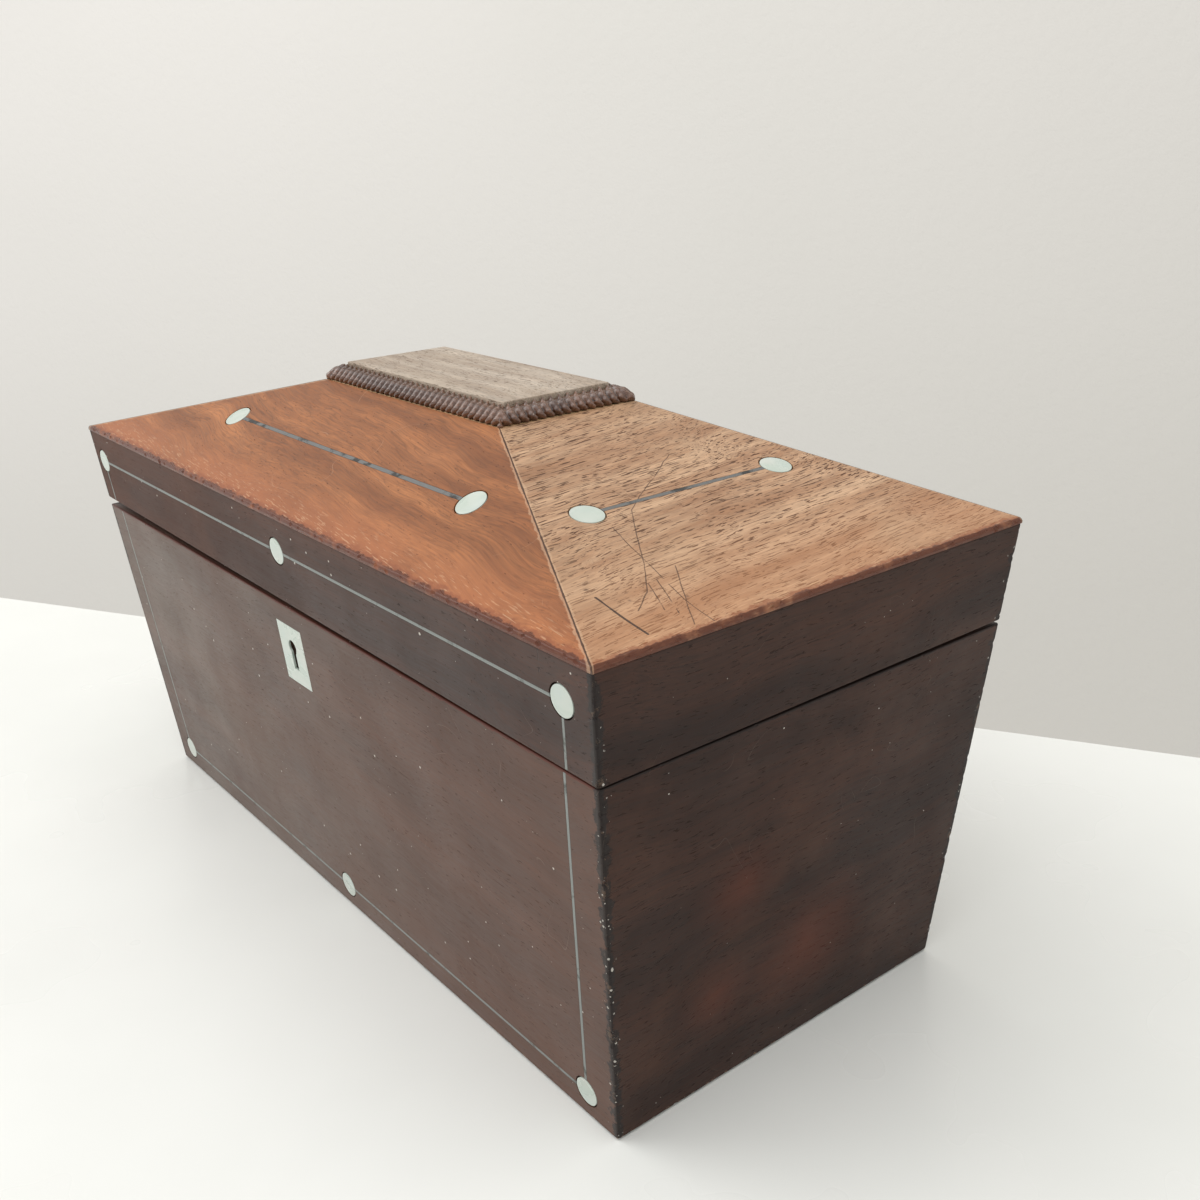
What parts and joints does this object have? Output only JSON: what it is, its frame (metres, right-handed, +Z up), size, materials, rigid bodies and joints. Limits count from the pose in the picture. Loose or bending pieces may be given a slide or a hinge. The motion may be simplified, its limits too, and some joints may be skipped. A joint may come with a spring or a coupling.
{
  "type": "inlaid wooden tea caddy",
  "caption": "Tapered veneered wooden tea caddy with a hipped hinged lid, pearl and metal inlay, lidded tea compartments, a bowl well and a box lock.",
  "frame": {"origin": "centre of the underside, on the surface that the box stands on", "axes": "+X along the front towards the right-hand end, -Y towards the front with the escutcheon, +Z up"},
  "size_m": [0.305, 0.1468, 0.1682],
  "materials": {
    "rosewood_veneer": "worn French polish",
    "faded_veneer": "sun-faded, rubbed polish",
    "carcase_pine": "bare",
    "mahogany": "waxed",
    "pearl": "polished mother of pearl",
    "pewter_string": "dull white metal",
    "lead_lining": "dull lead foil",
    "brass": "tarnished",
    "steel": "dark",
    "bone": "turned and polished",
    "baize": "napped cloth"
  },
  "bodies": {
    "base": {"base_front_board": "rosewood_veneer", "base_back_board": "rosewood_veneer", "base_left_board": "rosewood_veneer", "base_right_board": "rosewood_veneer", "bottom_board": "carcase_pine", "underside_baize": "baize", "left_partition": "mahogany", "right_partition": "mahogany", "left_tea_liner": "lead_lining", "right_tea_liner": "lead_lining", "bowl_board": "rosewood_veneer", "lock_case": "brass", "lock_plate": "brass", "escutcheon": "pearl", "left_hinge_lower_leaf": "brass", "right_hinge_lower_leaf": "brass", "left_hinge_pin": "steel", "right_hinge_pin": "steel", "base_string": "pewter_string", "base_left_roundel": "pearl", "base_middle_roundel": "pearl", "base_right_roundel": "pearl"},
    "lid": {"lid_front_board": "rosewood_veneer", "lid_back_board": "rosewood_veneer", "lid_left_board": "rosewood_veneer", "lid_right_board": "rosewood_veneer", "lid_ceiling_board": "mahogany", "roof_front_slope": "faded_veneer", "roof_back_slope": "faded_veneer", "roof_left_slope": "faded_veneer", "roof_right_slope": "faded_veneer", "crown_board": "carcase_pine", "top_panel": "faded_veneer", "front_moulding": "rosewood_veneer", "back_moulding": "rosewood_veneer", "left_moulding": "rosewood_veneer", "right_moulding": "rosewood_veneer", "left_hinge_upper_leaf": "brass", "right_hinge_upper_leaf": "brass", "link_plate": "brass", "lid_string": "pewter_string", "lid_left_roundel": "pearl", "lid_middle_roundel": "pearl", "lid_right_roundel": "pearl", "front_slope_string": "pewter_string", "front_slope_left_roundel": "pearl", "front_slope_right_roundel": "pearl", "left_slope_string": "pewter_string", "left_slope_front_roundel": "pearl", "left_slope_back_roundel": "pearl", "right_slope_string": "pewter_string", "right_slope_front_roundel": "pearl", "right_slope_back_roundel": "pearl"},
    "bolt": {"lock_bolt": "steel"},
    "left_tea_cover": {"left_tea_lid": "rosewood_veneer", "left_tea_lid_knob": "bone"},
    "right_tea_cover": {"right_tea_lid": "rosewood_veneer", "right_tea_lid_knob": "bone"}
  },
  "joints": [
    {"name": "lid_hinge", "type": "hinge", "parent": "base", "child": "lid", "pos_m": [0, 0.07088, 0.10845], "axis": [-1, 0, 0], "range_deg": [0, 95]},
    {"name": "bolt_slide", "type": "slide", "parent": "base", "child": "bolt", "axis": [1, 0, 0], "range_m": [0, 0.005]},
    {"name": "left_tea_cover_lift", "type": "slide", "parent": "base", "child": "left_tea_cover", "axis": [0, 0, 1], "range_m": [0, 0.014]},
    {"name": "right_tea_cover_lift", "type": "slide", "parent": "base", "child": "right_tea_cover", "axis": [0, 0, 1], "range_m": [0, 0.014]}
  ]
}
